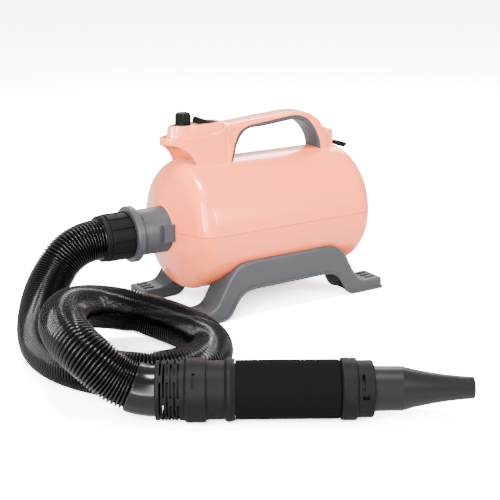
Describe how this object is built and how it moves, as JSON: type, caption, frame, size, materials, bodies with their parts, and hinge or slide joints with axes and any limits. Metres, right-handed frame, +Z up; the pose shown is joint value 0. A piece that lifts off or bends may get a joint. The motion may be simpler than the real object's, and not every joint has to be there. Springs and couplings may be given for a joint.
{
  "type": "pet dryer",
  "caption": "Pet dryer: horizontal drum body with handle, dial and switch on an arched base, with a hose to a foam-gripped hand wand and a tapered nozzle.",
  "frame": {"origin": "on the floor, under the middle of the box round the dryer and the wand (the hose left out)", "axes": "+Z up from the floor; +X along the drum from the air outlet to the air inlet; +Y from the wand towards the dryer"},
  "size_m": [0.4982, 0.5009, 0.2329],
  "materials": {
    "pink_shell": "glossy moulded plastic",
    "grey_shell": "satin moulded plastic",
    "dark_plastic": "satin black moulded plastic",
    "nozzle_plastic": "satin black moulded plastic",
    "black_hose": "glossy corrugated plastic",
    "grip_foam": "matt closed-cell foam",
    "black_rubber": "matt",
    "filter_foam": "open-cell foam",
    "screw_steel": "zinc plated",
    "motor_steel": "satin",
    "fan_aluminium": "satin",
    "copper": "bright",
    "carbon": "matt",
    "board_green": "satin"
  },
  "bodies": {
    "dryer": {"lower_shell": "pink_shell", "upper_shell": "pink_shell", "shell_screws": "screw_steel", "outlet_neck": "grey_shell", "lug_screws": "screw_steel", "outlet_seal": "black_rubber", "hose": "black_hose", "hose_end_sleeve": "dark_plastic", "base_frame": "grey_shell", "foot_pads": "black_rubber", "foot_treads": "grey_shell", "base_screws": "screw_steel", "top_housing": "pink_shell", "handle_liner": "grey_shell", "control_panel": "grey_shell", "potentiometer": "motor_steel", "switch_body": "dark_plastic", "control_board": "board_green", "latch_pin": "screw_steel", "latch_spring": "screw_steel", "cord_gland": "black_rubber", "motor_frame": "motor_steel", "front_bearing": "motor_steel", "rear_bearing": "motor_steel", "stator_core": "motor_steel", "field_windings": "copper", "brush_holders": "dark_plastic", "carbon_brushes": "carbon", "motor_mount_rear": "black_rubber", "motor_mount_front": "black_rubber", "motor_bulkhead": "dark_plastic", "silencer_foam": "filter_foam", "fan_case": "fan_aluminium"},
    "hose_cuff": {"hose_cuff": "dark_plastic"},
    "speed_knob": {"speed_knob": "dark_plastic", "pot_shaft": "screw_steel"},
    "power_rocker": {"power_rocker": "dark_plastic"},
    "rear_cover": {"rear_cover": "grey_shell", "air_filter": "filter_foam"},
    "cover_latch": {"cover_latch": "dark_plastic"},
    "wand": {"wand_connector": "dark_plastic", "wand_tube": "dark_plastic", "foam_grip": "grip_foam", "lock_ring": "dark_plastic", "nozzle_socket": "dark_plastic"},
    "nozzle": {"nozzle": "nozzle_plastic"},
    "rotor": {"rotor_shaft": "screw_steel", "armature_core": "motor_steel", "commutator": "copper", "fan_nut": "screw_steel", "fan_impeller": "fan_aluminium"}
  },
  "joints": [
    {"name": "cuff_twist", "type": "hinge", "parent": "dryer", "child": "hose_cuff", "pos_m": [-0.1041, 0.175, 0.1], "axis": [1, 0, 0], "range_deg": [0, 40]},
    {"name": "knob_turn", "type": "hinge", "parent": "dryer", "child": "speed_knob", "pos_m": [-0.0285, 0.175, 0.219], "axis": [0, 0, -1], "range_deg": [0, 270]},
    {"name": "rocker_tilt", "type": "hinge", "parent": "dryer", "child": "power_rocker", "pos_m": [0.001, 0.175, 0.218], "axis": [0, -1, 0], "range_deg": [0, 30]},
    {"name": "cover_slide", "type": "slide", "parent": "dryer", "child": "rear_cover", "axis": [1, 0, 0], "range_m": [0, 0.04]},
    {"name": "latch_lift", "type": "hinge", "parent": "dryer", "child": "cover_latch", "pos_m": [0.1745, 0.175, 0.1782], "axis": [0, -1, 0], "range_deg": [0, 12], "stiffness_Nm_per_rad": 0.1, "springref_deg": -2.86},
    {"name": "wand_swivel", "type": "hinge", "parent": "dryer", "child": "wand", "pos_m": [-0.2095, -0.087, 0.03], "axis": [0.8526, -0.5225, 0], "continuous": true},
    {"name": "nozzle_twist", "type": "hinge", "parent": "wand", "child": "nozzle", "pos_m": [0.04245, -0.2414, 0.03], "axis": [0.8526, -0.5225, 0], "range_deg": [0, 30]},
    {"name": "rotor_spin", "type": "hinge", "parent": "dryer", "child": "rotor", "pos_m": [0.0675, 0.175, 0.1], "axis": [-1, 0, 0], "continuous": true}
  ]
}
